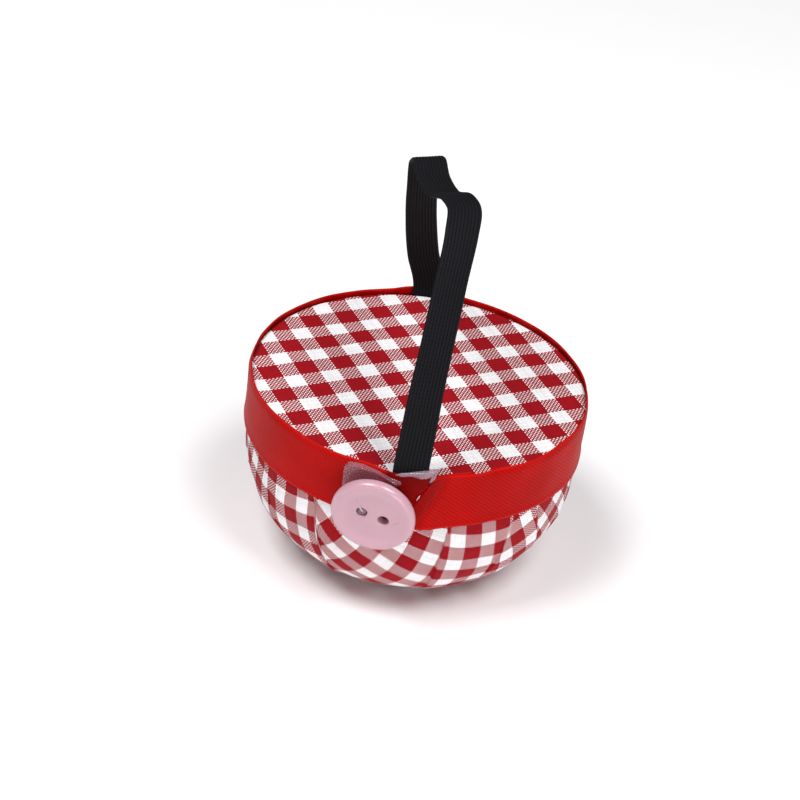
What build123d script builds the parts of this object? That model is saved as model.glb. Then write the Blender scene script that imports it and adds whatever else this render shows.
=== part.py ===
"""Wrist pin cushion: a stuffed gingham dome under a flat, stiffened wrist face, with a satin ribbon round
the rim, a flat elastic wristband glued in under the ribbon, and a two-hole button over the ribbon's joint.

Millimetres. +Z is up and out of the flat wrist face, and the dome stands on its own flattened bottom.
The origin is the centre of that resting patch. The wristband runs from the front rim (-Y) to the back rim (+Y).
"""

from build123d import *
from math import acos, cos, degrees, pi, radians, sin
import os

# ---- driving dimensions ----
cushion_height = 36.0  # resting patch to the flat wrist face
wall_radius = 32.6  # the straight side wall behind the ribbon
cloth = 0.5  # both gingham covers

# dome
shoulder_z = 28.0  # where the straight wall turns into the dome
rest_radius = 11.0  # the flattened patch that the dome stands on
dome_power = 2.3  # 2 is an ellipse, and more is a fuller shoulder
mouth_radius = 21.0  # gathered mouth of the dome cover

# flat base
guard_thickness = 2.0  # stiff disc that keeps pin points off the wrist
guard_radius = 31.8
cover_edge_radius = 0.7  # the cover's rounded edge round the wrist face
hem_radius = 24.5  # inner edge of the base cover's gathered hem
joint_glue_thickness = 0.5
joint_glue_inner, joint_glue_outer = 26.0, 31.0  # radii of the ring of glue between base and dome

# trim
thread_radius = 0.25
thread_gap = 0.05  # between a gathering thread and the hem that it draws in
ribbon_width = 11.4
ribbon_thickness = 0.3
ribbon_lip = 1.1  # how far the ribbon stands above the wrist face
lap_start, lap_end = -98.0, -70.0  # degrees round +Z, where the ribbon lies double, partly under the button
end_glue_thickness = 0.15

# wristband
band_width = 6.4
band_thickness = 0.9
band_tail = 9.0  # length glued in under the ribbon
crown_cut_z = 74.5  # the legs stretch below this height and the crown rides above it
band_sections = 56

# button
button_diameter = 15.7
button_thickness = 2.3
button_azimuth = -99.2
button_tilt = 6.0  # its face looks this far below the horizontal
button_front_radius = 36.9  # from the dome's axis to the middle of the face
button_z = 28.25
button_hole_diameter = 2.1
button_hole_spacing = 4.2
button_hole_turn = -12.7
button_back_radius = 5.2  # flat part of the back
button_rim_width = 0.9  # rounded rim round the dish
button_dish_depth = 0.55
button_glue_radius = 4.3
button_glue_gap = 0.01

# ---- heights and radii that follow ----
guard_top_z = cushion_height - cloth
guard_bottom_z = guard_top_z - guard_thickness
base_bottom_z = guard_bottom_z - cloth
dome_top_z = base_bottom_z - joint_glue_thickness
filling_top_z = dome_top_z - cloth
lip_z = cushion_height + ribbon_lip
ribbon_bottom_z = lip_z - ribbon_width
tail_inner_radius = wall_radius + end_glue_thickness
tail_outer_radius = tail_inner_radius + band_thickness
tail_half_angle = degrees(band_width / 2 / tail_inner_radius)
tail_bottom_z = lip_z - band_tail
end_glue_top_z = cushion_height - 1.2

# Centreline of the free loop from the front rim to the back rim, and how far the band's width is turned from +X
# there, in degrees. The crown sags into a crease in its middle.
band_root_y = (tail_inner_radius + tail_outer_radius) / 2
band_route = [
    ((0.0, -band_root_y, lip_z), 0.0),
    ((0.4, -32.3, 44.6), 9.0),
    ((0.9, -30.7, 53.0), 18.0),
    ((1.7, -27.9, 61.5), 25.0),
    ((2.6, -22.8, 70.2), 30.0),
    ((3.5, -16.2, 77.6), 33.0),
    ((3.5, -11.6, 80.0), 31.0),
    ((2.1, -7.2, 79.9), 26.0),
    ((-0.5, -1.4, 77.5), 20.0),
    ((-2.5, 3.6, 77.8), 18.0),
    ((-3.6, 8.4, 78.8), 20.0),
    ((-4.2, 12.2, 76.9), 24.0),
    ((-4.2, 17.6, 68.6), 29.0),
    ((-3.6, 23.6, 58.8), 26.0),
    ((-2.2, 29.6, 47.6), 14.0),
    ((0.0, band_root_y, lip_z), 0.0),
]


def dome_outline(inset: float, top_z: float) -> None:
    """Half section of the dome in the XZ plane, inset by a thickness, drawn into the BuildLine in use."""
    reach = wall_radius - inset - rest_radius
    drop = shoulder_z - inset
    corners = [pi / 2 * i / 6 for i in range(7)]
    curve = [
        (
            rest_radius + reach * sin(a) ** (2 / dome_power),
            shoulder_z - drop * cos(a) ** (2 / dome_power),
        )
        for a in corners
    ]
    Line((0, inset), curve[0])
    Spline(*curve, tangents=[(1, 0), (0, 1)])
    Polyline(curve[-1], (wall_radius - inset, top_z), (0, top_z), (0, inset))


def ring_sector(inner: float, outer: float, middle: float, half_angle: float) -> None:
    """A curved strip between two radii, centred on an angle, drawn into the BuildLine in use."""
    near = CenterArc((0, 0), inner, middle - half_angle, 2 * half_angle)
    far = CenterArc((0, 0), outer, middle - half_angle, 2 * half_angle)
    Line(near @ 0, far @ 0)
    Line(near @ 1, far @ 1)


def ribbon_outline() -> None:
    """Inner line of the taut ribbon: the wall's circle, with straight tangents over the band's tucked ends."""
    slip = degrees(acos(wall_radius / tail_outer_radius))
    clear = tail_half_angle + slip
    for middle in (-90, 90):
        over = CenterArc((0, 0), tail_outer_radius, middle - tail_half_angle, 2 * tail_half_angle)
        side = CenterArc((0, 0), wall_radius, middle + clear, 180 - 2 * clear)
        Line(over @ 1, side @ 0)
        a = radians(middle - clear)
        Line((wall_radius * cos(a), wall_radius * sin(a)), over @ 0)


os.makedirs("parts", exist_ok=True)

# ---- flat base ----
with BuildPart(Plane.XY.offset(guard_bottom_z)) as guard_disc:
    Cylinder(guard_radius, guard_thickness, align=(Align.CENTER, Align.CENTER, Align.MIN))

with BuildPart() as base_cover:
    with BuildSketch(Plane.XY.offset(base_bottom_z)):
        Circle(wall_radius)
    extrude(amount=cushion_height - base_bottom_z)
    fillet(base_cover.edges().sort_by(Axis.Z)[-1], cover_edge_radius)
    with BuildSketch(Plane.XY.offset(guard_bottom_z)):
        Circle(guard_radius)
    extrude(amount=guard_thickness, mode=Mode.SUBTRACT)
    with BuildSketch(Plane.XY.offset(base_bottom_z)):
        Circle(hem_radius)
    extrude(amount=cloth, mode=Mode.SUBTRACT)

with BuildPart(Plane.XY.offset(base_bottom_z + thread_radius)) as base_cover_thread:
    Torus(hem_radius - thread_radius - thread_gap, thread_radius)

with BuildPart() as joining_glue:
    with BuildSketch(Plane.XY.offset(dome_top_z)):
        Circle(joint_glue_outer)
        Circle(joint_glue_inner, mode=Mode.SUBTRACT)
    extrude(amount=joint_glue_thickness)

# ---- dome ----
with BuildPart() as dome_cover:
    with BuildSketch(Plane.XZ):
        with BuildLine():
            dome_outline(0, dome_top_z)
        make_face()
    revolve(axis=Axis.Z)
    with BuildSketch(Plane.XZ):
        with BuildLine():
            dome_outline(cloth, filling_top_z)
        make_face()
    revolve(axis=Axis.Z, mode=Mode.SUBTRACT)
    with BuildSketch(Plane.XY.offset(filling_top_z)):
        Circle(mouth_radius)
    extrude(amount=cloth, mode=Mode.SUBTRACT)

with BuildPart(Plane.XY.offset(filling_top_z + thread_radius)) as dome_cover_thread:
    Torus(mouth_radius - thread_radius - thread_gap, thread_radius)

# The filling swells up through the gathered mouth until it meets the stiff disc.
with BuildPart() as filling:
    with BuildSketch(Plane.XZ):
        with BuildLine():
            dome_outline(cloth, filling_top_z)
        make_face()
    revolve(axis=Axis.Z)
    with BuildSketch(Plane.XY.offset(filling_top_z)):
        Circle(mouth_radius - 2 * thread_radius - 2 * thread_gap)
    extrude(amount=guard_bottom_z - filling_top_z)

# ---- ribbon ----
with BuildPart() as rim_ribbon:
    with BuildSketch(Plane.XY.offset(ribbon_bottom_z)) as ribbon_ring:
        with BuildLine():
            ribbon_outline()
        make_face()
        offset(amount=ribbon_thickness, kind=Kind.ARC)
        with BuildLine():
            ribbon_outline()
        make_face(mode=Mode.SUBTRACT)
    extrude(amount=ribbon_width)
    # the loose end lies over the beginning for a stretch
    with BuildSketch(Plane.XY.offset(ribbon_bottom_z)) as ribbon_lap:
        with BuildLine():
            ribbon_outline()
        make_face()
        offset(amount=2 * ribbon_thickness, kind=Kind.ARC)
        with BuildLine():
            ribbon_outline()
        make_face(mode=Mode.SUBTRACT)
        with BuildLine():
            a, b = radians(lap_start), radians(lap_end)
            reach = 2 * wall_radius
            Polyline((0, 0), (reach * cos(a), reach * sin(a)), (reach * cos(b), reach * sin(b)), (0, 0))
        make_face(mode=Mode.INTERSECT)
    extrude(amount=ribbon_width)

# ---- wristband ----
tails = {}
end_glues = {}
for side, middle in (("front", -90), ("back", 90)):
    with BuildPart() as tail:
        with BuildSketch(Plane.XY.offset(tail_bottom_z)):
            with BuildLine():
                ring_sector(tail_inner_radius, tail_outer_radius, middle, tail_half_angle)
            make_face()
        extrude(amount=band_tail)
    tails[side] = tail
    with BuildPart() as end_glue:
        with BuildSketch(Plane.XY.offset(tail_bottom_z)):
            with BuildLine():
                ring_sector(wall_radius, tail_inner_radius, middle, tail_half_angle)
            make_face()
        extrude(amount=end_glue_top_z - tail_bottom_z)
    end_glues[side] = end_glue

with BuildLine():
    band_centre = Spline(*[p for p, _ in band_route], tangents=[(0, 0, 1), (0, 0, -1)])


def band_turn(y: float) -> float:
    """How far the band's width is turned from +X, where its centreline is at y."""
    for ((_, y0, _), turn0), ((_, y1, _), turn1) in zip(band_route, band_route[1:]):
        if y0 <= y <= y1:
            return turn0 + (turn1 - turn0) * (y - y0) / (y1 - y0)
    return 0.0


def band_plane(share: float) -> Plane:
    """The plane square to the band at a share of its length, with its X along the band's width."""
    at = band_centre @ share
    along = band_centre % share
    turn = radians(band_turn(at.Y))
    across = Vector(cos(turn), sin(turn), 0)
    across = (across - along * across.dot(along)).normalized()
    return Plane(at, x_dir=across, z_dir=along)


# The loop is one loft along its centreline, cut level into two legs and a crown.
with BuildPart() as loop:
    for i in range(band_sections):
        with BuildSketch(band_plane(i / (band_sections - 1))):
            Rectangle(band_width, band_thickness)
    loft(ruled=True)

with BuildPart() as crown:
    add(loop)
    split(bisect_by=Plane.XY.offset(crown_cut_z), keep=Keep.TOP)

with BuildPart() as front_leg:
    add(loop)
    split(bisect_by=Plane.XY.offset(crown_cut_z), keep=Keep.BOTTOM)
    split(bisect_by=Plane.XZ, keep=Keep.TOP)

with BuildPart() as back_leg:
    add(loop)
    split(bisect_by=Plane.XY.offset(crown_cut_z), keep=Keep.BOTTOM)
    split(bisect_by=Plane.XZ, keep=Keep.BOTTOM)

# ---- button ----
button_dir = Vector(
    cos(radians(button_azimuth)) * cos(radians(button_tilt)),
    sin(radians(button_azimuth)) * cos(radians(button_tilt)),
    -sin(radians(button_tilt)),
)
button_centre = Vector(
    button_front_radius * cos(radians(button_azimuth)),
    button_front_radius * sin(radians(button_azimuth)),
    button_z,
)
button_back = button_centre - button_dir * button_thickness
button_plane = Plane(button_back, x_dir=Vector(0, 0, 1).cross(button_dir), z_dir=button_dir)
button_radius = button_diameter / 2

with BuildPart(button_plane) as button:
    with BuildSketch(Plane(button_plane.origin, x_dir=button_plane.x_dir, z_dir=-button_plane.y_dir)):
        with BuildLine():
            # half section, out along the back, round the rim, and down into the dish
            outline = Polyline((0, 0), (button_back_radius, 0), (button_radius - 0.35, 0.3))
            rim_crest = (button_radius - button_rim_width, button_thickness)
            edge = ThreePointArc(outline @ 1, (button_radius - 0.1, button_thickness / 2), rim_crest)
            dish_z = button_thickness - button_dish_depth
            shoulder = (button_radius - 2 * button_rim_width, dish_z + 0.25)
            halfway = (button_radius / 2, dish_z + 0.05)
            dish = Spline(edge @ 1, shoulder, halfway, (0, dish_z), tangents=[(-1, 0), (-1, 0)])
            Line(dish @ 1, (0, 0))
        make_face()
    revolve(axis=Axis(button_plane.origin, button_dir))
    with BuildSketch(button_plane.rotated((0, 0, button_hole_turn))):
        with GridLocations(button_hole_spacing, 0, 2, 1):
            Circle(button_hole_diameter / 2)
    extrude(amount=button_thickness, mode=Mode.SUBTRACT)

# The glue fills the wedge between the button's flat back and the curved ribbon.
with BuildPart() as button_glue:
    with Locations(button_plane):
        Cylinder(button_glue_radius, button_thickness, align=(Align.CENTER, Align.CENTER, Align.MAX))
    with BuildSketch(Plane.XY.offset(ribbon_bottom_z - ribbon_width)):
        with BuildLine():
            ribbon_outline()
        make_face()
        offset(amount=2 * ribbon_thickness + button_glue_gap, kind=Kind.ARC)
    extrude(amount=3 * ribbon_width, mode=Mode.SUBTRACT)

# ---- export ----
for name, piece in {
    "guard_disc": guard_disc,
    "base_cover": base_cover,
    "base_cover_thread": base_cover_thread,
    "joining_glue": joining_glue,
    "dome_cover": dome_cover,
    "dome_cover_thread": dome_cover_thread,
    "filling": filling,
    "rim_ribbon": rim_ribbon,
    "wristband_front_end": tails["front"],
    "wristband_back_end": tails["back"],
    "front_end_glue": end_glues["front"],
    "back_end_glue": end_glues["back"],
    "wristband_front_leg": front_leg,
    "wristband_back_leg": back_leg,
    "wristband_crown": crown,
    "button": button,
    "button_glue": button_glue,
}.items():
    piece.part.label = name
    export_step(piece.part, f"parts/{name}.step")
    print(name, len(piece.solids()), round(piece.part.volume, 1), piece.part.is_valid)

print("free loop of band between the rims, mm:", round(band_centre.length, 1))
print("button reaches out to, mm:", round(-button.part.bounding_box().min.Y, 2))
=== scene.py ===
import math

import bpy
import numpy as np
from mathutils import Matrix, Vector, noise


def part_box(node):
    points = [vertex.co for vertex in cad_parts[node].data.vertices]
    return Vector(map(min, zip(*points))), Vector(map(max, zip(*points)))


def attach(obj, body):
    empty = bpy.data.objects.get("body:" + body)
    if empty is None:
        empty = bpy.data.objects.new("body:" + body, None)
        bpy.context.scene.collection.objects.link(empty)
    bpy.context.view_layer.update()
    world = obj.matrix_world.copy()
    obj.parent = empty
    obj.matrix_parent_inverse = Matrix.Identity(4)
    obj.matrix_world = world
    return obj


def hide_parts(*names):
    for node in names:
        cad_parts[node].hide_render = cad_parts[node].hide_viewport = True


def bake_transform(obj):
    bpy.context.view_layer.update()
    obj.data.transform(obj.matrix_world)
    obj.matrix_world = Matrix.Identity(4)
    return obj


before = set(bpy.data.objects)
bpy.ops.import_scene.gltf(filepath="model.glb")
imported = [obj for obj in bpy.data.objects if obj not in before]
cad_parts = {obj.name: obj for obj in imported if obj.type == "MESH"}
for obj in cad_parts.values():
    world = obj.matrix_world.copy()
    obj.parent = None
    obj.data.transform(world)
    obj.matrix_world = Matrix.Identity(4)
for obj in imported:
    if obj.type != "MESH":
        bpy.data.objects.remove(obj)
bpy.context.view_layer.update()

# Lengths in this script are millimetres; pieces are scaled to metres as their meshes are made.
MM = 0.001
TAU = 2 * math.pi

# ---------------------------------------------------------------- sizes
# from the frame's own nodes
_, dome_high = (np.array(c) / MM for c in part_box("dome_cover"))
base_low, base_high = (np.array(c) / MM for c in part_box("base_cover"))
ribbon_low, ribbon_high = (np.array(c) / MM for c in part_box("rim_ribbon"))
WALL = dome_high[0]  # radius of the straight wall behind the ribbon
DOME_TOP_Z = dome_high[2]
BASE_Z, FACE_Z = base_low[2], base_high[2]
HEM_Z, LIP_Z = ribbon_low[2], ribbon_high[2]  # the ribbon's lower and upper edges

# the dome's outline
SHOULDER_Z = 28.0  # where the straight wall turns into the dome
REST_R = 11.0  # the flattened patch that the dome stands on
FULLNESS = 2.3  # 2 is an ellipse, and more is a fuller shoulder
TOP_OVERLAP = 12.0  # how far the cloth turns in over the filling, under the base

# the elastic band, and where its two ends are tucked between the wall and the ribbon
BAND_W, BAND_T, RIBS = 6.4, 0.9, 10
TAIL_IN, TAIL_OUT = WALL + 0.15, WALL + 1.05
TAIL_R = 33.2
TAIL_Z = LIP_Z - 9.0
TAIL_HALF = BAND_W / 2 / TAIL_IN  # half of a tucked end's angle
TAIL_SPOTS = (-math.pi / 2, math.pi / 2)
CUT_Z = 52.0  # the band is split here into its two roots below and its loop above

# the button, by the middle of its face
BUTTON_AZ, BUTTON_TILT = math.radians(-99.2), math.radians(6.0)
BUTTON_FACE_R, BUTTON_Z = 36.9, 28.25
BUTTON_R, BUTTON_T = 7.85, 2.3
HOLE_OFF, HOLE_TURN = 2.1, math.radians(-12.7)

# gingham: the repeat of one red and one white band, each way of the cloth
CHECK_U, CHECK_V = 7.94, 7.52
THREADS = 19  # fewer than the real cloth has, so that they can be seen
RED_HALF = 0.27  # half of the red band's share of a repeat
THREAD_HALF = 0.285  # from a thread's middle to where the one under it shows, in threads
WHITE_COTTON = (0.83, 0.81, 0.825, 1)
RED_COTTON = (0.295, 0.0025, 0.0075, 1)
# where the checks start, in repeats, at the middle of the dome's bottom and of the wrist face
DOME_CHECK = (0.439, 0.106)
FACE_CHECK = (1.207, 2.617)
DOME_WARP_AZ = math.radians(-144)
DOME_SHRINK = 1.097  # repeats are this much closer on the dome, where the cloth is drawn in
FACE_WARP, FACE_WEFT = np.array([0.453, -0.891]), np.array([0.891, 0.453])


# ---------------------------------------------------------------- mesh helpers
def piece(name, verts, faces, body, slot, material, replaces=(), **layers):
    """A smooth mesh from millimetre vertices, riding on a body, with point layers of its own coordinates."""
    mesh = bpy.data.meshes.new(name)
    verts = np.asarray(verts, float).reshape(-1, 3)
    mesh.from_pydata((verts * MM).tolist(), [], faces)
    for layer, values in layers.items():
        data = mesh.attributes.new(layer, "FLOAT_VECTOR", "POINT")
        data.data.foreach_set("vector", np.asarray(values, np.float32).reshape(-1))
    mesh.polygons.foreach_set("use_smooth", [True] * len(mesh.polygons))
    mesh.materials.append(material)
    mesh.update()
    obj = bpy.data.objects.new(name, mesh)
    bpy.context.scene.collection.objects.link(obj)
    if body:
        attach(obj, body)
    if replaces:
        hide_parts(*replaces)
    return obj


def quads(rows, cols, wrap=False, base=0, flip=False):
    """Faces of a grid of rows by cols vertices, closed round its columns if it wraps."""
    faces = []
    for r in range(rows - 1):
        for c in range(cols if wrap else cols - 1):
            d = (c + 1) % cols
            a = base + r * cols
            b = a + cols
            face = (a + c, a + d, b + d, b + c)
            faces.append(face[::-1] if flip else face)
    return faces


def smoothstep(low, high, x):
    t = np.clip((np.asarray(x, float) - low) / (high - low), 0, 1)
    return t * t * (3 - 2 * t)


def ripple(points, size, seed):
    """Smooth noise from -1 to 1 at each point, for features of about that size."""
    shift = Vector((seed * 17.3, seed * -9.1, seed * 5.7))
    return np.array([noise.noise(Vector(p) / size + shift) for p in points])


def around(azimuth, r, z):
    """Points at an azimuth in radians, a radius and a height, each of them a number or an array."""
    azimuth, r, z = np.broadcast_arrays(azimuth, r, z)
    return np.stack([r * np.cos(azimuth), r * np.sin(azimuth), z], axis=-1)


def field(points, size, seed):
    """ripple() over a grid of points."""
    return ripple(points.reshape(-1, 3), size, seed).reshape(points.shape[:-1])


def runs(r, z):
    """Lengths along the steps of a profile."""
    return np.cumsum(np.hypot(np.diff(r), np.diff(z)))


def tube(path, radii, sides):
    """Vertices and faces of a closed round tube along a path, with one radius per point."""
    path = np.asarray(path, float)
    along = np.gradient(path, axis=0)
    along /= np.linalg.norm(along, axis=1)[:, None]
    up = np.array([0.31, 0.22, 0.93])
    side = np.cross(along, up)
    side /= np.linalg.norm(side, axis=1)[:, None]
    other = np.cross(side, along)
    turn = np.arange(sides) / sides * TAU
    rings = path[:, None] + np.asarray(radii)[:, None, None] * (
        np.cos(turn)[None, :, None] * side[:, None] + np.sin(turn)[None, :, None] * other[:, None]
    )
    faces = quads(len(path), sides, wrap=True)
    faces.append(tuple(range(sides)))
    faces.append(tuple((len(path) - 1) * sides + i for i in reversed(range(sides))))
    return rings.reshape(-1, 3), faces


def through(points, count):
    """A smooth line of count points through a few given ones, evenly spaced."""
    points = np.asarray(points, float)
    gaps = np.r_[0, np.cumsum(np.linalg.norm(np.diff(points, axis=0), axis=1))]
    slopes = np.gradient(points, gaps, axis=0)
    t = np.linspace(0, gaps[-1], 20 * count)
    k = np.clip(np.searchsorted(gaps, t, side="right") - 1, 0, len(gaps) - 2)
    h = (gaps[k + 1] - gaps[k])[:, None]
    w = ((t - gaps[k]) / h[:, 0])[:, None]
    fine = (
        (2 * w**3 - 3 * w**2 + 1) * points[k]
        + (w**3 - 2 * w**2 + w) * h * slopes[k]
        + (3 * w**2 - 2 * w**3) * points[k + 1]
        + (w**3 - w**2) * h * slopes[k + 1]
    )
    run = np.r_[0, np.cumsum(np.linalg.norm(np.diff(fine, axis=0), axis=1))]
    even = np.linspace(0, run[-1], count)
    return np.stack([np.interp(even, run, fine[:, i]) for i in range(3)], axis=1)


# ---------------------------------------------------------------- material helpers
class Shade:
    """A node material, with short calls for the kinds of node that the materials here use."""

    def __init__(self, name, **values):
        self.material = bpy.data.materials.new(name)
        self.material.use_nodes = True
        self.tree = self.material.node_tree
        self.bsdf = self.tree.nodes["Principled BSDF"]
        for key, value in values.items():
            self.bsdf.inputs[key.replace("_", " ")].default_value = value

    def node(self, kind, inputs=None, out=0, **props):
        n = self.tree.nodes.new("ShaderNode" + kind)
        for key, value in props.items():
            setattr(n, key, value)
        for key, value in (inputs or {}).items():
            self.put(n.inputs[key], value)
        return n.outputs[out]

    def put(self, socket, value):
        if isinstance(value, bpy.types.NodeSocket):
            self.tree.links.new(value, socket)
        else:
            socket.default_value = value

    def math(self, operation, a, b=0.0, c=0.0):
        return self.node("Math", {0: a, 1: b, 2: c}, operation=operation)

    def layer(self, name):
        """The three parts of a vector layer of the mesh."""
        n = self.tree.nodes.new("ShaderNodeAttribute")
        n.attribute_name = name
        xyz = self.tree.nodes.new("ShaderNodeSeparateXYZ")
        self.tree.links.new(n.outputs["Vector"], xyz.inputs[0])
        return xyz.outputs

    def place(self):
        """The point on the object, in millimetres."""
        coords = self.node("TexCoord", out=3)
        return self.node("VectorMath", {0: coords, "Scale": 1 / MM}, operation="SCALE")

    def noise(self, vector, scale=1.0, detail=3.0, roughness=0.5):
        return self.node(
            "TexNoise", {"Vector": vector, "Scale": scale, "Detail": detail, "Roughness": roughness}
        )

    def spread(self, value, low, high):
        """A 0 to 1 value spread over low to high."""
        return self.node("MapRange", {"Value": value, "To Min": low, "To Max": high})

    def mix(self, factor, a, b, blend="MIX"):
        n = self.tree.nodes.new("ShaderNodeMix")
        n.data_type = "RGBA"
        n.blend_type = blend
        self.put(n.inputs[0], factor)
        self.put(n.inputs[6], a)
        self.put(n.inputs[7], b)
        return n.outputs[2]

    def tint(self, colour, factor):
        """A colour made brighter or darker by a factor."""
        grey = self.node("CombineXYZ", {0: factor, 1: factor, 2: factor})
        return self.mix(1.0, colour, grey, "MULTIPLY")

    def bump(self, height, distance, strength=1.0):
        normal = self.node("Bump", {"Height": height, "Distance": distance * MM, "Strength": strength})
        self.put(self.bsdf.inputs["Normal"], normal)


def gingham():
    m = Shade("gingham", Roughness=0.86, Sheen_Weight=0.04, Sheen_Roughness=0.4)
    m.bsdf.inputs["Specular IOR Level"].default_value = 0.12
    u, v, _ = m.layer("cloth")
    fine_u = m.math("MULTIPLY", u, THREADS)
    fine_v = m.math("MULTIPLY", v, THREADS)
    warp = m.math("FLOOR", fine_u)
    weft = m.math("FLOOR", fine_v)

    def red(thread):
        """1 for a red thread, by where it lies in the repeat."""
        centre = m.math("DIVIDE", m.math("ADD", thread, 0.5), THREADS)
        off = m.math("ABSOLUTE", m.math("SUBTRACT", m.math("FRACT", m.math("ADD", centre, 0.5)), 0.5))
        return m.math("LESS_THAN", off, RED_HALF)

    # plain weave: warp and weft come to the top by turns
    turns = m.math("MULTIPLY", m.math("ADD", warp, weft), 0.5)
    warp_up = m.math("GREATER_THAN", m.math("FRACT", turns), 0.25)

    def on_top(if_weft, if_warp):
        return m.node("Mix", {0: warp_up, 2: if_weft, 3: if_warp}, data_type="FLOAT")

    red_warp, red_weft = red(warp), red(weft)
    top = on_top(red_weft, red_warp)
    under = on_top(red_warp, red_weft)
    side = on_top(m.math("FRACT", fine_v), m.math("FRACT", fine_u))
    beside = m.math("GREATER_THAN", m.math("ABSOLUTE", m.math("SUBTRACT", side, 0.5)), THREAD_HALF)
    is_red = m.math("MAXIMUM", top, m.math("MULTIPLY", under, beside))
    thread = m.node("CombineXYZ", {0: on_top(weft, warp), 1: warp_up})
    slub = m.node("TexWhiteNoise", {"Vector": thread}, noise_dimensions="2D")
    cloud = m.noise(m.place(), 0.22, 4)
    worn = m.noise(m.place(), 0.9, 3)
    colour = m.mix(is_red, WHITE_COTTON, RED_COTTON)
    colour = m.tint(colour, m.spread(slub, 0.88, 1.06))
    colour = m.tint(colour, m.spread(cloud, 0.9, 1.1))
    m.put(m.bsdf.inputs["Base Color"], colour)
    m.put(m.bsdf.inputs["Roughness"], m.spread(worn, 0.78, 0.94))
    humps = [m.math("SINE", m.math("MULTIPLY", m.math("FRACT", fine), math.pi)) for fine in (fine_u, fine_v)]
    height = m.math("ADD", m.math("MULTIPLY", m.math("MULTIPLY", *humps), 0.8), m.math("MULTIPLY", slub, 0.2))
    m.bump(height, 0.05, 0.7)
    return m.material


def satin():
    m = Shade("satin", Roughness=0.55)
    m.bsdf.inputs["Specular IOR Level"].default_value = 0.1
    m.bsdf.inputs["Specular Tint"].default_value = (1, 0.35, 0.3, 1)
    along, across, glue_stain_and_shade = m.layer("ribbon")
    # twill lines, 1 mm apart along the ribbon, climb across it
    wander = m.noise(m.place(), 0.5, 2)
    line = m.math("ADD", along, m.math("MULTIPLY", across, -1.25))
    line = m.math("ADD", line, m.math("MULTIPLY", wander, 0.5))
    twill = m.math("SINE", m.math("MULTIPLY", line, TAU))
    rib = m.math("SINE", m.math("MULTIPLY", across, TAU / 0.28))
    drawn_out = m.node("CombineXYZ", {0: m.math("MULTIPLY", along, 0.35), 1: m.math("MULTIPLY", across, 6.0)})
    fibre = m.noise(drawn_out, 1.4, 4)
    cloud = m.noise(m.place(), 0.12, 3)
    middle = (LIP_Z - HEM_Z) / 2
    selvedge = 0.35
    edge = m.math("GREATER_THAN", m.math("ABSOLUTE", m.math("SUBTRACT", across, middle)), middle - selvedge)
    # the twill's ridges are painted lighter and the hollows between them darker: painted light and shade on the
    # weave, whose relief is in the bump too
    ridge = m.node("MapRange", {"Value": twill, "From Min": -1.0})
    colour = m.mix(ridge, (0.335, 0.0022, 0.0018, 1), (0.455, 0.0035, 0.0026, 1))
    colour = m.tint(colour, m.spread(fibre, 0.8, 1.15))
    colour = m.tint(colour, m.spread(cloud, 0.8, 1.15))
    # both edges are painted brighter: a painted highlight along the selvedge, whose raised threads are in the
    # bump too
    colour = m.mix(m.math("MULTIPLY", edge, 0.5), colour, (0.56, 0.008, 0.005, 1))
    # darker where glue has soaked in, and beside the button partly painted shade
    colour = m.mix(glue_stain_and_shade, colour, (0.15, 0.0015, 0.0025, 1))
    m.put(m.bsdf.inputs["Base Color"], colour)
    m.put(m.bsdf.inputs["Roughness"], m.spread(fibre, 0.48, 0.64))
    height = m.math("ADD", m.math("MULTIPLY", twill, 0.5), m.math("MULTIPLY", rib, 0.12))
    height = m.math("ADD", height, m.math("MULTIPLY", fibre, 0.6))
    height = m.math("ADD", height, m.math("MULTIPLY", edge, 0.8))
    m.bump(height, 0.04, 0.6)
    return m.material


def braided():
    m = Shade("braid", Roughness=0.8)
    m.bsdf.inputs["Specular IOR Level"].default_value = 0.12
    across, along, _ = m.layer("band")
    # each rib is a plait: its stitches lean one way on one half and the other way on the other
    rib = m.math("MULTIPLY", across, RIBS / BAND_W)
    half = m.math("ABSOLUTE", m.math("SUBTRACT", m.math("FRACT", rib), 0.5))
    stitch = m.math("SINE", m.math("MULTIPLY", m.math("ADD", m.math("MULTIPLY", along, 1.35), half), TAU))
    fuzz = m.noise(m.place(), 3.0, 4, 0.7)
    cloud = m.noise(m.place(), 0.18, 3)
    # the grooves between the ribs are painted darker, as painted shade, and each stitch's crest is painted
    # lighter, as painted light
    groove_shade = m.node("MapRange", {"Value": half, "From Min": 0.5, "From Max": 0.28})
    colour = m.mix(groove_shade, (0.001, 0.001, 0.0014, 1), (0.0065, 0.0062, 0.0085, 1))
    lit = m.node("MapRange", {"Value": stitch, "From Min": -1.0, "To Min": 0.8, "To Max": 1.15})
    colour = m.tint(colour, lit)
    colour = m.tint(colour, m.spread(fuzz, 0.75, 1.3))
    colour = m.tint(colour, m.spread(cloud, 0.8, 1.2))
    m.put(m.bsdf.inputs["Base Color"], colour)
    m.put(m.bsdf.inputs["Roughness"], m.spread(fuzz, 0.66, 0.9))
    m.bump(m.math("ADD", m.math("MULTIPLY", stitch, 0.15), fuzz), 0.045, 0.5)
    return m.material


def button_plastic():
    m = Shade("button_pink", Roughness=0.3, Coat_Weight=0.4, Coat_Roughness=0.15, IOR=1.5)
    m.bsdf.inputs["Subsurface Weight"].default_value = 0.25
    m.bsdf.inputs["Subsurface Scale"].default_value = 0.0012
    m.bsdf.inputs["Subsurface Radius"].default_value = (1.0, 0.5, 0.5)
    cloud = m.noise(m.place(), 0.16, 3)
    fine = m.noise(m.place(), 2.2, 4)
    colour = m.mix(cloud, (0.50, 0.285, 0.345, 1), (0.545, 0.32, 0.385, 1))
    m.put(m.bsdf.inputs["Base Color"], m.tint(colour, m.spread(fine, 0.985, 1.015)))
    m.put(m.bsdf.inputs["Roughness"], m.spread(fine, 0.27, 0.35))
    m.bump(cloud, 0.05, 0.2)
    return m.material


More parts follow.
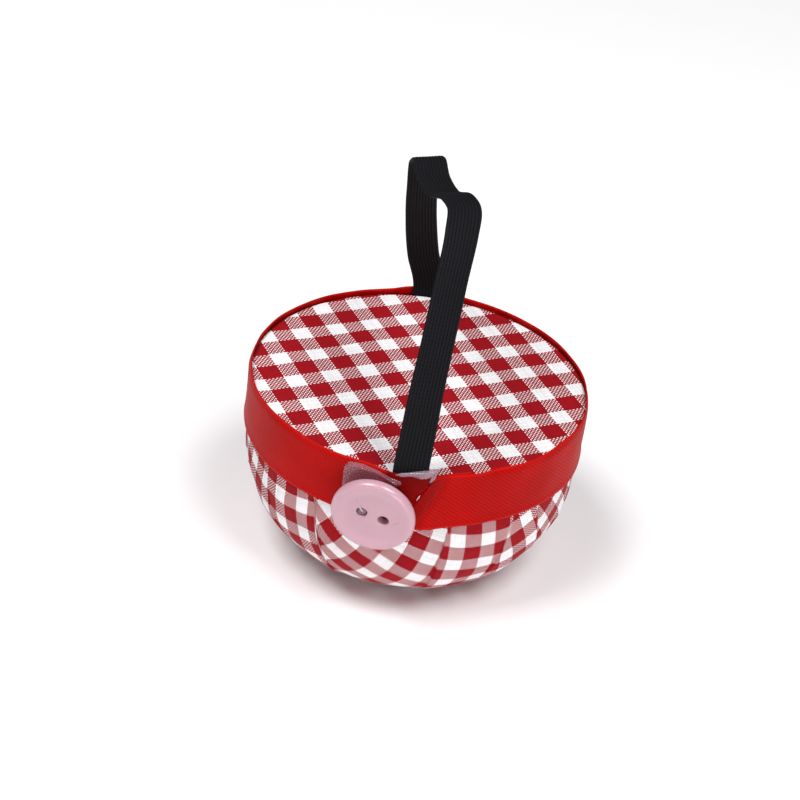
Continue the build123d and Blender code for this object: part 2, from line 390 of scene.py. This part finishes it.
def hot_glue(name, opacity, dark, pale):
    m = Shade(name, Roughness=0.14, IOR=1.48, Coat_Weight=0.6, Coat_Roughness=0.06, Alpha=opacity)
    cloud = m.noise(m.place(), 0.8, 3)
    fine = m.noise(m.place(), 3.5, 3)
    m.put(m.bsdf.inputs["Base Color"], m.mix(cloud, dark, pale))
    m.put(m.bsdf.inputs["Roughness"], m.spread(fine, 0.12, 0.2))
    m.bump(cloud, 0.06, 0.25)
    return m.material


def cotton_thread():
    m = Shade("cotton_thread", Roughness=0.8, Sheen_Weight=0.2)
    twist = m.node("TexWave", {"Vector": m.place(), "Scale": 1.6, "Distortion": 1.5, "Detail": 2.0})
    m.put(m.bsdf.inputs["Base Color"], m.mix(twist, (0.62, 0.58, 0.55, 1), (0.86, 0.84, 0.82, 1)))
    m.bump(twist, 0.06)
    return m.material


def wadding():
    m = Shade("wadding", Roughness=0.95, Sheen_Weight=0.4)
    fluff = m.noise(m.place(), 1.1, 6, 0.7)
    m.put(m.bsdf.inputs["Base Color"], m.mix(fluff, (0.72, 0.71, 0.68, 1), (0.93, 0.92, 0.9, 1)))
    m.bump(fluff, 0.6)
    return m.material


def fibre_board():
    m = Shade("fibre_board", Roughness=0.85)
    fleck = m.noise(m.place(), 1.8, 5, 0.65)
    m.put(m.bsdf.inputs["Base Color"], m.mix(fleck, (0.46, 0.41, 0.33, 1), (0.7, 0.66, 0.57, 1)))
    m.bump(fleck, 0.08)
    return m.material


def studio_floor():
    m = Shade("floor", Roughness=0.6)
    grain = m.noise(m.place(), 0.05, 3)
    m.put(m.bsdf.inputs["Base Color"], m.mix(grain, (0.965, 0.96, 0.965, 1), (0.98, 0.975, 0.98, 1)))
    return m.material


GINGHAM = gingham()
SATIN = satin()
BRAID = braided()
BUTTON = button_plastic()
# each glue: how opaque it is, and its darker and paler colours
GLUE = hot_glue("clear_glue", 0.26, (0.34, 0.15, 0.21, 1), (0.50, 0.27, 0.34, 1))
GLUE_THICK = hot_glue("thick_glue", 0.55, (0.30, 0.19, 0.25, 1), (0.46, 0.33, 0.40, 1))
GLUE_PALE = hot_glue("pale_glue", 0.75, (0.60, 0.42, 0.49, 1), (0.74, 0.54, 0.61, 1))
THREAD = cotton_thread()
WADDING = wadding()
BOARD = fibre_board()

# the CAD nodes that stay as they are, inside
for node, material in {
    "guard_disc": BOARD, "base_cover_thread": THREAD, "joining_glue": GLUE, "dome_cover_thread": THREAD,
    "filling": WADDING, "front_end_glue": GLUE, "back_end_glue": GLUE, "button_glue": GLUE,
}.items():
    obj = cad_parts[node]
    for slot in obj.material_slots:
        slot.material = material


# ---------------------------------------------------------------- dome cover
def dome_profile(step):
    """The cloth's run from the bottom's centre, in even steps, and the dome's radius and height there."""
    turn = np.linspace(0, math.pi / 2, 400)
    rho = REST_R + (WALL - REST_R) * np.sin(turn) ** (2 / FULLNESS)
    z = SHOULDER_Z * (1 - np.cos(turn) ** (2 / FULLNESS))
    rho = np.r_[0, rho, WALL, WALL - TOP_OVERLAP]
    z = np.r_[0, z, DOME_TOP_Z, DOME_TOP_Z]
    run = np.r_[0, runs(rho, z)]
    s = np.arange(step, run[-1], step)
    return s, np.interp(s, run, rho), np.interp(s, run, z)


# knife pleats: azimuth at the rim, how far the fold line leans as it goes down, its share of the cloth
# taken up, which way it faces, and the run at which it opens
PLEATS = [
    (-168, 3, 2, 1, 28), (-147, -4, 3, 1, 27), (-121, -3, 28, 1, 24), (-75, 2, 6, -1, 22), (-51, 2, 8, -1, 26),
    (-41, -9, 8, 1, 24), (-17, 3, 4, -1, 27), (8, -4, 5, 1, 23), (31, 2, 3, -1, 28), (57, 4, 6, 1, 22),
    (84, -3, 4, 1, 26), (109, 3, 6, -1, 23), (137, -4, 5, 1, 25), (161, 2, 4, -1, 27),
]


def dome_cloth():
    s, rho, z = dome_profile(0.45)
    widest = np.argmax(rho)
    cols = 1200
    turn = np.arange(cols) / cols * TAU - math.pi
    rim_s = np.interp(HEM_Z, z[:widest], s[:widest])
    total = sum(share for _, _, share, _, _ in PLEATS)
    # the cloth that has to be taken up at each run, as an angle
    taken = TAU * 0.58 * np.clip(1 - rho / s, 0, None) * smoothstep(12, 20, s)
    S, T = np.meshgrid(s, turn, indexing="ij")
    RHO = np.broadcast_to(rho[:, None], S.shape)
    fabric = T * (1 - taken / TAU)[:, None] - taken[:, None] / 2
    lift = np.zeros_like(S)
    down = np.clip((rim_s - s) / 16, 0, 1.6)[:, None]
    for spot, lean, share, way, opens in PLEATS:
        line = math.radians(spot) - math.radians(lean) * down
        gap = (T - line + math.pi) % TAU - math.pi
        fabric += (taken * share / total)[:, None] * (T > line)
        # the fold rises slowly to its line and drops into a valley behind it
        t = gap * RHO * way
        rise = (0.24 + 0.008 * share) * np.exp(np.minimum(t, 0) / 2.6)
        valley = -0.14 * np.exp(-np.maximum(t, 0) / 1.5)
        lift += np.where(t < 0, rise, valley) * smoothstep(opens - 4, opens + 12, s)[:, None]
    out = smoothstep(rim_s + 1.2, rim_s - 0.6, s)[:, None]
    pts = around(T, RHO, z[:, None])
    puff = field(pts, 9.0, 3) * 0.45
    puff += field(pts, 4.0, 5) * 0.16
    # the taut ribbon nips the cloth in just below its edge
    puff -= 0.55 * np.exp(-(((s - rim_s) / 5.0) ** 2))[:, None]
    gather = np.sin(T * 61 + 2.2 * np.sin(T * 9)) * smoothstep(rim_s - 8, rim_s, s)[:, None] * 0.12
    # the cloth stays outside the filling
    lift = np.maximum((lift + puff + gather) * out * smoothstep(9, 20, s)[:, None] + 0.1, -0.12)
    # the profile's outward direction, and none on the part turned in under the base
    d_rho, d_z = np.gradient(rho), np.gradient(z)
    size = np.hypot(d_rho, d_z)
    n_rho, n_z = d_z / size, -d_rho / size
    inner = s > s[widest] + 3.9
    n_rho[inner], n_z[inner] = 0, 0
    r = RHO + lift * n_rho[:, None]
    h = np.maximum(z[:, None] + lift * n_z[:, None], 0.0)
    r = np.where(z[:, None] > HEM_Z + 2, np.minimum(r, WALL - 0.05), r)
    verts = around(T, r, h)
    # the weave runs straight across the bottom and is taken up by the pleats towards the rim
    way = fabric - DOME_WARP_AZ
    u = DOME_SHRINK * S * np.cos(way) / CHECK_U + DOME_CHECK[0]
    v = DOME_SHRINK * S * np.sin(way) / CHECK_V + DOME_CHECK[1]
    cloth = np.stack([u, v, np.zeros_like(u)], axis=-1)
    rows = len(s)
    verts = np.vstack([verts.reshape(-1, 3), [[0, 0, 0]]])
    cloth = np.vstack([cloth.reshape(-1, 3), [[*DOME_CHECK, 0]]])
    faces = quads(rows, cols, wrap=True)
    faces += [((c + 1) % cols, c, rows * cols) for c in range(cols)]
    obj = piece("dome_cloth", verts, faces, "cushion", "gingham_cotton", GINGHAM, ["dome_cover"], cloth=cloth)


dome_cloth()


# ---------------------------------------------------------------- wrist face
def wrist_cloth():
    # the profile: flat face, rounded edge, side and the hem turned in underneath
    flat_rows, edge_r, under = 90, 0.75, BASE_Z + 0.02
    edge = np.linspace(0, math.pi / 2, 7)[1:]
    flat_r, side_r = WALL - edge_r, WALL - 0.02
    r = np.r_[np.linspace(0.6, flat_r, flat_rows), flat_r + edge_r * np.sin(edge), side_r, side_r, 28.0, 24.8]
    z = np.r_[np.full(flat_rows, FACE_Z), FACE_Z - edge_r * (1 - np.cos(edge)), BASE_Z + 0.5, under, under,
              BASE_Z + 0.1]
    cols = 360
    turn = np.arange(cols) / cols * TAU
    R, T = np.meshgrid(r, turn, indexing="ij")
    pts = around(T, R, z[:, None])
    soft = field(pts, 11.0, 8) * 0.22
    soft += field(pts, 3.5, 9) * 0.06
    top = (np.arange(len(r)) <= flat_rows + len(edge))[:, None]
    pts[..., 2] += np.where(top, soft - 0.12, 0) * smoothstep(WALL, WALL - 3, R)
    run = np.r_[r[0], r[0] + runs(r, z)][:, None]
    x, y = run * np.cos(T), run * np.sin(T)
    # the checks run a little unevenly
    drift = field(pts, 16.0, 2) * 0.22
    u = (x * FACE_WARP[0] + y * FACE_WARP[1] + drift) / CHECK_U + FACE_CHECK[0]
    v = (x * FACE_WEFT[0] + y * FACE_WEFT[1] - drift) / CHECK_V + FACE_CHECK[1]
    cloth = np.stack([u, v, np.zeros_like(u)], axis=-1)
    verts = np.vstack([pts.reshape(-1, 3), [[0, 0, pts[0, :, 2].mean()]]])
    cloth = np.vstack([cloth.reshape(-1, 3), [[*FACE_CHECK, 0]]])
    faces = quads(len(r), cols, wrap=True, flip=True)
    faces += [(c, (c + 1) % cols, len(r) * cols) for c in range(cols)]
    obj = piece("wrist_face_cloth", verts, faces, "cushion", "gingham_cotton", GINGHAM, ["base_cover"],
                cloth=cloth)


wrist_cloth()


# ---------------------------------------------------------------- ribbon
def from_tail(azimuth):
    """Angle to the middle of the nearer of the band's two tucked ends."""
    return np.minimum(*(np.abs((azimuth - spot + math.pi) % TAU - math.pi) for spot in TAIL_SPOTS))


def ribbon_inner(azimuth):
    """Radius of the taut ribbon's inner face: the wall, with straight runs over the band's two tucked ends."""
    clear = TAIL_HALF + math.acos(WALL / TAIL_OUT)
    away = from_tail(azimuth)
    return np.where(away < TAIL_HALF, TAIL_OUT, WALL / np.cos(np.clip(clear - away, 0, clear - TAIL_HALF)))


def ribbon():
    rows, cols = 26, 1300
    start, lap, slant = math.radians(-70), math.radians(22), math.radians(9.7)
    along = np.linspace(0, 1, cols)[None, :]
    across = np.linspace(0, 1, rows)[:, None]
    # the outer end is cut on a slant, so its lower corner runs further under the button
    mean = start - along * (TAU + lap) + 0 * across
    azimuth = mean + smoothstep(start - TAU + 0.1, start - TAU - lap, mean) * across * slant
    # 1 where the ribbon lies over its own beginning
    outer = smoothstep(start - TAU + math.radians(10), start - TAU + math.radians(1), mean)
    low_wave, top_wave = (ripple(around(mean[0], 30, 0), size, seed) for size, seed in ((10, 21), (8, 22)))
    soft = field(around(azimuth, 30, 12 * across), 6.0, 23)
    z = HEM_Z + 0.3 * low_wave + (LIP_Z - HEM_Z + 0.16 * top_wave - 0.3 * low_wave) * across
    r = ribbon_inner(azimuth) + 0.16 + outer * 0.34 + 0.12 * (soft + 0.4)
    # the lip leans in over the wrist face, but not against the band, and the lower edge stands off the dome
    lip = smoothstep(0.88, 1.0, across)
    clear = smoothstep(TAIL_HALF + 0.03, TAIL_HALF + 0.14, from_tail(azimuth))
    r = r - lip * (0.2 + 0.3 * (top_wave + 0.4)) * (1 - outer) * clear + 0.12 * (1 - clear)
    r = r + smoothstep(0.12, 0.0, across) * (0.12 + 0.2 * np.clip(low_wave, 0, 1))
    # a crease runs along the cut end, where the glue has drawn the ribbon in
    lead = np.degrees(azimuth - azimuth[:, -1:])
    crease = np.exp(-(((lead - 5.5 + 1.5 * across) / 1.2) ** 2)) * outer
    r = r - 0.14 * crease
    # glue has soaked into both layers round the cut end and darkens them; between the button and the cut end
    # the darkening is partly painted shade
    degrees = np.degrees(azimuth)
    uneven = 0.75 + 0.4 * soft
    over = outer * smoothstep(7.5, 2.0, lead) * uneven
    under = smoothstep(-99, -96, degrees) * smoothstep(-79, -82, degrees) * (degrees > -180) * uneven
    glue_stain_and_shade = np.clip(np.maximum(over * 0.8, under), 0, 0.95)
    verts = around(azimuth, r, z)
    layer = np.stack([-(azimuth - start) * WALL, z - HEM_Z, glue_stain_and_shade], axis=-1)
    obj = piece("ribbon", verts, quads(rows, cols, flip=True), "cushion", "satin_ribbon", SATIN, ["rim_ribbon"],
                ribbon=layer)
    shell = obj.modifiers.new("thickness", "SOLIDIFY")
    shell.thickness = 0.24 * MM
    shell.offset = 0


ribbon()


# ---------------------------------------------------------------- elastic band
# the loop's middle line, from root to root, with how far its width is turned from +X in degrees
ROUTE = [
    ((0.0, -33.2, 37.1), 0), ((0.4, -32.3, 44.6), 9), ((0.9, -30.7, 53.0), 18), ((1.7, -27.9, 61.5), 25),
    ((2.6, -22.8, 70.2), 30), ((3.5, -16.2, 77.6), 33), ((3.5, -11.6, 80.0), 31), ((2.1, -7.2, 79.9), 26),
    ((-0.5, -1.4, 77.5), 20), ((-2.5, 3.6, 77.8), 18), ((-3.6, 8.4, 78.8), 20), ((-4.2, 12.2, 76.9), 24),
    ((-4.2, 17.6, 68.6), 29), ((-3.6, 23.6, 58.8), 26), ((-2.2, 29.6, 47.6), 14), ((0.0, 33.2, 37.1), 0),
]


def band_line(step):
    """The whole band: tail, loop and tail. Points, and how far its width is turned from +X at each."""
    tail = [(0.0, -TAIL_R, TAIL_Z), (0.0, -TAIL_R, 31.0), (0.0, -TAIL_R, 34.0)]
    points = tail + [p for p, _ in ROUTE] + [(x, -y, z) for x, y, z in reversed(tail)]
    length = sum(math.dist(a, b) for a, b in zip(points, points[1:]))
    line = through(points, int(length / step))
    turn = np.interp(line[:, 1], [p[1] for p, _ in ROUTE], np.radians([t for _, t in ROUTE]))
    return line, turn


def band_section():
    """The band's outline: ribs on each face and rounded edges. Columns: across, out of the face."""
    rib_high, edge = 0.15, 0.1
    x = np.linspace(-1, 1, RIBS * 8 + 1) * (BAND_W / 2 - edge)
    wave = np.abs(np.sin((x / (BAND_W - 2 * edge) + 0.5) * RIBS * math.pi)) ** 0.7
    y = BAND_T / 2 - rib_high + rib_high * wave
    y = y * (1 - 0.35 * smoothstep(BAND_W / 2 - 0.7, BAND_W / 2, np.abs(x)))
    top = np.stack([x, y], axis=1)
    end = np.array([[BAND_W / 2, edge], [BAND_W / 2, -edge]])
    return np.vstack([top, end, top[::-1] * [1, -1], -end])


def band_piece(name, first, last, nodes):
    """The band from one point of its line to another."""
    line, turn = LINE, LINE_TURN
    run = np.r_[0, np.cumsum(np.linalg.norm(np.diff(line, axis=0), axis=1))]
    section = band_section()
    along = np.gradient(line, axis=0)
    along /= np.linalg.norm(along, axis=1)[:, None]
    wide = np.stack([np.cos(turn), np.sin(turn), 0 * turn], axis=1)
    wide -= along * (wide * along).sum(axis=1)[:, None]
    wide /= np.linalg.norm(wide, axis=1)[:, None]
    face = np.cross(wide, along)
    rings = (line[:, None] + section[None, :, 0, None] * wide[:, None]
             + section[None, :, 1, None] * face[:, None])
    # the tucked tails lie round the wall
    tucked = smoothstep(LIP_Z + 3, LIP_Z - 1, rings[..., 2])
    sag = TAIL_R - np.sqrt(np.clip(TAIL_R**2 - rings[..., 0] ** 2, 1, None))
    rings[..., 1] -= np.sign(rings[..., 1]) * sag * tucked
    keep = slice(first, last)
    rings, run = rings[keep], run[keep]
    across = np.broadcast_to(section[None, :, 0] + BAND_W / 2, rings.shape[:2])
    layer = np.stack([across, np.broadcast_to(run[:, None], across.shape), 0 * across], axis=-1)
    n, sides = rings.shape[:2]
    return piece(name, rings, quads(n, sides, wrap=True), None, "elastic", BRAID, nodes, band=layer)


LINE, LINE_TURN = band_line(0.4)
front_cut = int(np.argmax(LINE[:, 2] > CUT_Z))
back_cut = len(LINE) - int(np.argmax(LINE[::-1, 2] > CUT_Z))
front_root = band_piece("band_front_root", 0, front_cut + 1, ["wristband_front_end"])
back_root = band_piece("band_back_root", back_cut - 1, None, ["wristband_back_end"])
loop = band_piece("band_loop", front_cut, back_cut,
                  ["wristband_front_leg", "wristband_back_leg", "wristband_crown"])
for root in (front_root, back_root):
    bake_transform(root)
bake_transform(loop)


# ---------------------------------------------------------------- button
BUTTON_OUT = Vector((math.cos(BUTTON_AZ) * math.cos(BUTTON_TILT), math.sin(BUTTON_AZ) * math.cos(BUTTON_TILT),
                     -math.sin(BUTTON_TILT)))
BUTTON_RIGHT = Vector((0, 0, 1)).cross(BUTTON_OUT).normalized()
BUTTON_UP = BUTTON_OUT.cross(BUTTON_RIGHT)
BUTTON_FACE = Vector((BUTTON_FACE_R * math.cos(BUTTON_AZ), BUTTON_FACE_R * math.sin(BUTTON_AZ), BUTTON_Z))
HOLE = np.array([HOLE_OFF * math.cos(HOLE_TURN), HOLE_OFF * math.sin(HOLE_TURN), 0])


def on_button(x, y, z):
    """A point from the button's own axes: right, up, and out from its back."""
    return BUTTON_FACE + BUTTON_RIGHT * x + BUTTON_UP * y + BUTTON_OUT * (z - BUTTON_T)


def lathe(profile, cols):
    """Closed solid of revolution from (radius, height) points that start and end on the axis."""
    ring = [(r, h) for r, h in profile if r > 1e-6]
    verts, faces = [], []
    for r, h in ring:
        verts += [(r * math.cos(a), r * math.sin(a), h) for a in np.arange(cols) / cols * TAU]
    faces += quads(len(ring), cols, wrap=True)
    verts += [(0, 0, profile[0][1]), (0, 0, profile[-1][1])]
    low, high = len(verts) - 2, len(verts) - 1
    last = (len(ring) - 1) * cols
    faces += [((c + 1) % cols, c, low) for c in range(cols)]
    faces += [(last + c, last + (c + 1) % cols, high) for c in range(cols)]
    return verts, faces


def button():
    # the profile runs from the back's middle, round the rim and down into the dish: radius, height
    rim_w, rim_z, dish = 0.95, 0.95, 1.78
    crest = BUTTON_R - rim_w
    side = [(BUTTON_R - 0.35, 0.25), (BUTTON_R - 0.06, 0.55), (BUTTON_R, 0.85)]
    rim = [(crest + rim_w * math.sin(a), rim_z + (BUTTON_T - rim_z) * math.cos(a))
           for a in np.linspace(math.pi / 2.1, 0, 14)]
    bowl = [(r, dish + (BUTTON_T - dish) * smoothstep(crest - 2.4, crest + 0.25, r) + 0.03 * (r / crest) ** 2)
            for r in np.linspace(crest - 0.15, 0.4, 36)]
    bowl = [(r, min(h, BUTTON_T - 0.004)) for r, h in bowl]
    profile = [(0, 0), (3.0, 0), (5.4, 0.02), (6.6, 0.08)] + side + rim + bowl + [(0, dish)]
    verts, faces = lathe(profile, 160)
    body = piece("button_face", verts, faces, None, None, BUTTON)
    # each hole is cut by a plug that widens at the face
    plug = [(0, -1), (1.0, -1), (1.0, 1.45), (1.05, 1.6), (1.2, 1.74), (1.42, 1.86), (1.5, 3), (0, 3)]
    cut_verts, cut_faces = lathe(plug, 48)
    for way in (-1, 1):
        cutter = piece("cutter", np.array(cut_verts) + way * HOLE, cut_faces, None, None, BUTTON)
        cut = body.modifiers.new("hole", "BOOLEAN")
        cut.object = cutter
        cut.operation = "DIFFERENCE"
        cut.solver = "EXACT"
        graph = bpy.context.evaluated_depsgraph_get()
        mesh = bpy.data.meshes.new_from_object(body.evaluated_get(graph))
        body.modifiers.clear()
        body.data = mesh
        bpy.data.objects.remove(cutter)
    co = np.empty(3 * len(body.data.vertices))
    body.data.vertices.foreach_get("co", co)
    placed = [on_button(*(p / MM)) * MM for p in co.reshape(-1, 3)]
    body.data.vertices.foreach_set("co", np.array(placed).reshape(-1))
    body.data.update()
    body.data.shade_smooth()
    body.data.set_sharp_from_angle(angle=math.radians(40))
    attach(body, "cushion")
    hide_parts("button")


button()


# ---------------------------------------------------------------- glue
def strand(name, points, radii, seed, rough=0.0, slot="hot_glue", material=GLUE_THICK, sides=10):
    """A thin run of glue or a loose thread through a few points, as thick as its radii say in turn."""
    count = 40
    path = through(points, count)
    size = np.interp(np.linspace(0, 1, count), np.linspace(0, 1, len(radii)), radii)
    verts, faces = tube(path, size, sides)
    verts = verts + (ripple(verts, 1.3, seed) * rough)[:, None]
    return piece(name, verts, faces, "cushion", slot, material)


def at(*spots):
    """Points from azimuths in degrees, radii and heights."""
    return [around(math.radians(azimuth), r, z) for azimuth, r, z in spots]


strand("glue_root_bead", at((-94.5, 34.0, 36.8), (-91, 34.15, 37.3), (-88, 34.15, 37.5), (-85.4, 34.0, 37.6),
                            (-83.4, 33.6, 37.8), (-81.4, 33.0, 38.1)),
       [0.12, 0.45, 0.42, 0.6, 0.85, 0.6, 0.2], 31, 0.14, sides=18)
strand("glue_root_drip", at((-82.6, 33.9, 37.6), (-83.2, 34.2, 36.9), (-83.8, 34.3, 36.1)),
       [0.5, 0.42, 0.12], 32, 0.08, sides=14)


def glue_film():
    """The film that squeezed out over the ribbon, above and beside the button, with a rolled upper edge."""
    rows, cols = 44, 90
    span = np.linspace(0, 1, cols)[None, :]
    up = np.linspace(0, 1, rows)[:, None]
    # azimuth in degrees from its left edge to its right, and the heights between which it lies
    mid = -111.2 + 18.9 * span
    top = np.interp(mid, [-111, -108.7, -104.8, -100.7, -95.8, -92], [36.5, 36.75, 37.0, 36.75, 36.1, 35.5])
    bottom = np.interp(mid, [-112, -101, -92], [30.5, 31.0, 35.1])
    z = bottom + (top - bottom) * up
    az = np.radians(mid + 1.6 * (1 - span) ** 8 * smoothstep(34.8, 37.0, z))
    edge = smoothstep(0, 0.05, span) * smoothstep(1, 0.9, span) * smoothstep(0, 0.1, up)
    edge = edge * smoothstep(top, top - 0.25, z)
    roll = np.exp(-(((z - top + 0.42) / 0.26) ** 2)) * (0.55 + 0.25 * np.sin(7 * span))
    thick = 0.02 + edge * (0.22 + roll)
    inner = ribbon_inner(az) + 0.44
    wet = field(around(az, 30, z), 1.6, 41)
    shells = [around(az, r, z).reshape(-1, 3) for r in (inner, inner + 0.1 + thick * (1 + 0.25 * wet))]
    n = rows * cols
    faces = quads(rows, cols) + quads(rows, cols, base=n, flip=True)
    rim = ([(0, c) for c in range(cols)] + [(r, cols - 1) for r in range(1, rows)]
           + [(rows - 1, c) for c in range(cols - 2, -1, -1)] + [(r, 0) for r in range(rows - 2, 0, -1)])
    index = [r * cols + c for r, c in rim]
    faces += [(a, b, b + n, a + n)[::-1] for a, b in zip(index, index[1:] + index[:1])]
    return piece("glue_film", np.vstack(shells), faces, "cushion", "hot_glue", GLUE)


glue_film()


def on_face(*spots):
    """Points on the button's face, from right, up and how far they stand off it if not by 0.03."""
    return [on_button(x, y, 1.8 + (lift[0] if lift else 0.03)) for x, y, *lift in spots]


strand("glue_string_left", on_face((-3.2, 6.0, 0.4), (-3.0, 4.4), (-2.9, 3.0), (-2.5, 1.9), (-1.9, 0.9, 0.0)),
       [0.05, 0.12, 0.09, 0.13, 0.16], 1, material=GLUE_PALE)
strand("glue_string_right", on_face((2.9, -1.1, 0.0), (3.6, -1.1), (4.5, -0.4), (5.3, 0.6)),
       [0.1, 0.08, 0.07, 0.03], 2, material=GLUE_PALE)
strand("glue_string_low", on_face((-3.3, 1.1), (-3.4, 0.4), (-3.0, -0.3), (-2.4, -0.7)),
       [0.05, 0.12, 0.1, 0.05], 4, material=GLUE_PALE)
strand("glue_in_hole", [on_button(-HOLE[0], -HOLE[1], h) for h in (0.2, 0.8, 1.3, 1.6)],
       [0.95, 0.98, 0.98, 0.97, 0.85, 0.1], 6, 0.05, sides=24)

# the ribbon's cut end is frayed, with a speck of glue on it, made pale as a painted glint
strand("glue_speck_glint", at((-86.2, 34.5, 33.3), (-86.7, 34.55, 32.7), (-87.1, 34.5, 32.1)),
       [0.05, 0.14, 0.12, 0.04], 7, material=GLUE_PALE)
for number, spots in enumerate((
    ((-86.9, 34.4, 32.0), (-86.0, 34.6, 31.8), (-85.2, 34.5, 31.2)),
    ((-81.1, 34.4, 34.7), (-82.1, 34.7, 32.5), (-82.4, 34.5, 30.7)),
    ((-83.0, 34.4, 36.4), (-82.2, 34.8, 37.2), (-81.0, 34.9, 37.5)),
    ((-84.0, 34.4, 35.4), (-84.9, 34.8, 35.3), (-85.4, 35.0, 34.7)),
    ((-85.0, 34.4, 34.4), (-85.8, 34.8, 34.6), (-86.6, 34.9, 34.3)),
    ((-85.6, 34.4, 33.6), (-84.6, 34.6, 34.2), (-83.9, 34.5, 35.2)),
    ((-87.4, 34.4, 31.2), (-88.3, 34.7, 31.5), (-88.9, 34.9, 32.1)),
), 1):
    strand(f"ribbon_fray_{number}", at(*spots), [0.05, 0.045, 0.02], number, slot="satin_ribbon",
           material=SATIN, sides=6)


# ---------------------------------------------------------------- floor, light and camera
HALF_FLOOR = 3000
corners = [(x * HALF_FLOOR, y * HALF_FLOOR, 0) for x, y in ((-1, -1), (1, -1), (1, 1), (-1, 1))]
floor = piece("studio_floor", corners, [(0, 1, 2, 3)], None, None, studio_floor())

world = bpy.data.worlds.new("studio")
bpy.context.scene.world = world
world.use_nodes = True
world.node_tree.nodes["Background"].inputs["Color"].default_value = (1.0, 0.92, 0.945, 1)
world.node_tree.nodes["Background"].inputs["Strength"].default_value = 0.17


def area_light(name, place, size, watts, colour=(1, 1, 1)):
    """A rectangular light that faces the middle of the cushion."""
    light = bpy.data.lights.new(name, "AREA")
    light.shape = "RECTANGLE"
    light.size, light.size_y = size
    light.energy = watts
    light.color = colour
    obj = bpy.data.objects.new(name, light)
    bpy.context.scene.collection.objects.link(obj)
    obj.location = place
    obj.rotation_euler = (Vector((0, 0, 0.03)) - Vector(place)).to_track_quat("-Z", "Y").to_euler()


area_light("key_left", (-0.52, -0.3, 1.2), (0.55, 0.55), 12.6, (0.99, 1.0, 1.0))
area_light("key_right", (0.45, -0.42, 1.2), (0.55, 0.55), 10.6, (0.99, 1.0, 1.0))
area_light("front_fill", (0.4, -0.88, 0.18), (0.6, 0.25), 2.8)

# the photo's camera, fitted to the rim's ellipse, the button and the band
camera = bpy.data.cameras.new("camera")
camera.sensor_width = 36.0
camera.lens = 99.14
camera.clip_start, camera.clip_end = 0.01, 20
viewer = bpy.data.objects.new("camera", camera)
bpy.context.scene.collection.objects.link(viewer)
right = Vector((0.99188, 0.06023, 0.11205))
forward = Vector((0.01009, 0.8408, -0.54126)).normalized()
right = (right - forward * right.dot(forward)).normalized()
up = right.cross(forward)
viewer.matrix_world = Matrix.Translation((-0.00751, -0.35916, 0.26213)) @ Matrix(
    (right, up, -forward)
).transposed().to_4x4()
bpy.context.scene.camera = viewer
bpy.context.scene.view_settings.view_transform = "Standard"
